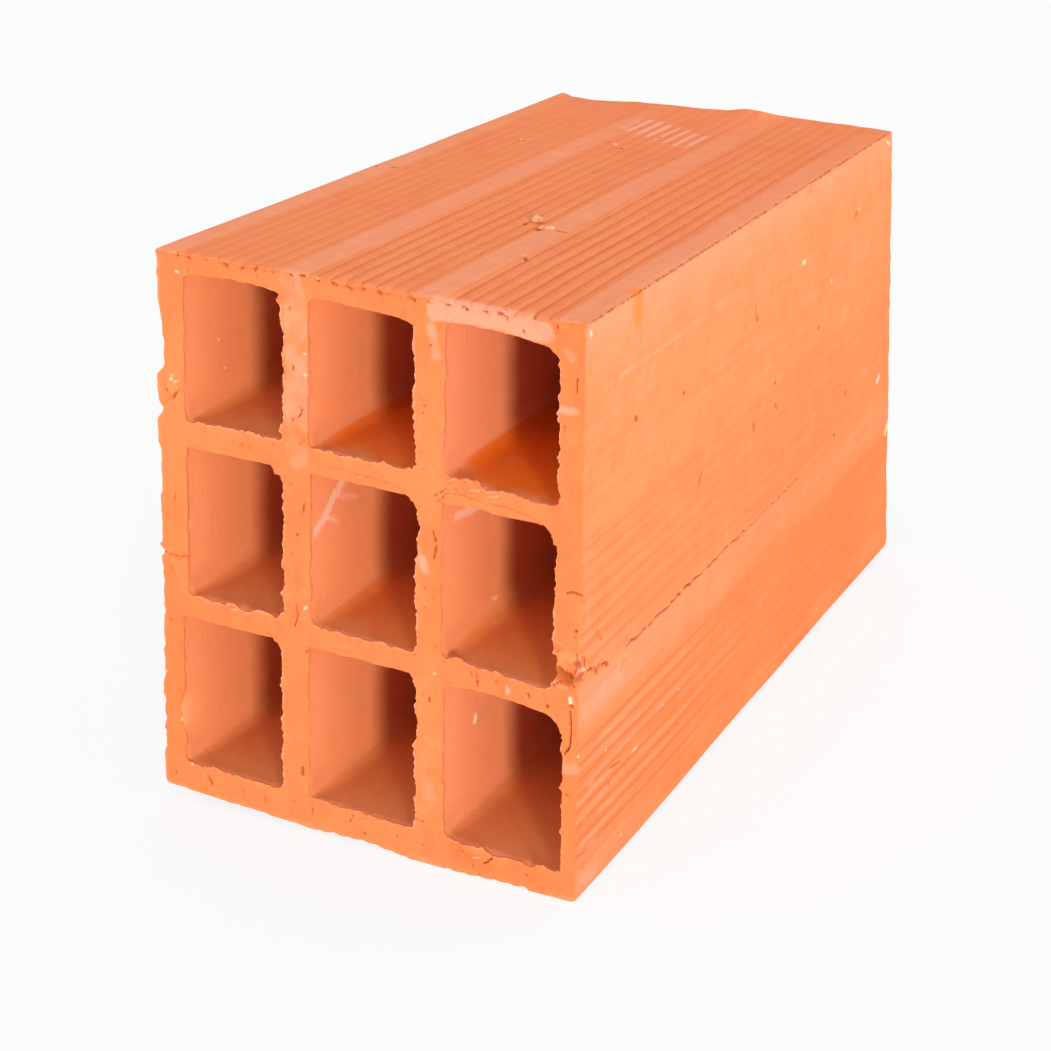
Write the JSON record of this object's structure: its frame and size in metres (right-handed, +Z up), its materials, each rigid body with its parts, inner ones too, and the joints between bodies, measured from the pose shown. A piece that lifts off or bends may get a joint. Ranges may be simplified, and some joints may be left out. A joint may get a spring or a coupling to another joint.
{
  "type": "hollow clay block",
  "caption": "Hollow building block of fired clay, with parallel through cells and bands of fine grooves along its long faces that give mortar and plaster a grip.",
  "frame": {"origin": "centre of the bottom bed face, the face that the block lies on", "axes": "+Z up, +Y along the through cells, +X across them; the ends are at -Y and +Y"},
  "size_m": [0.115, 0.24, 0.14],
  "materials": {
    "fired_clay": "matte"
  },
  "bodies": {
    "root": {"clay_block": "fired_clay"}
  },
  "joints": []
}
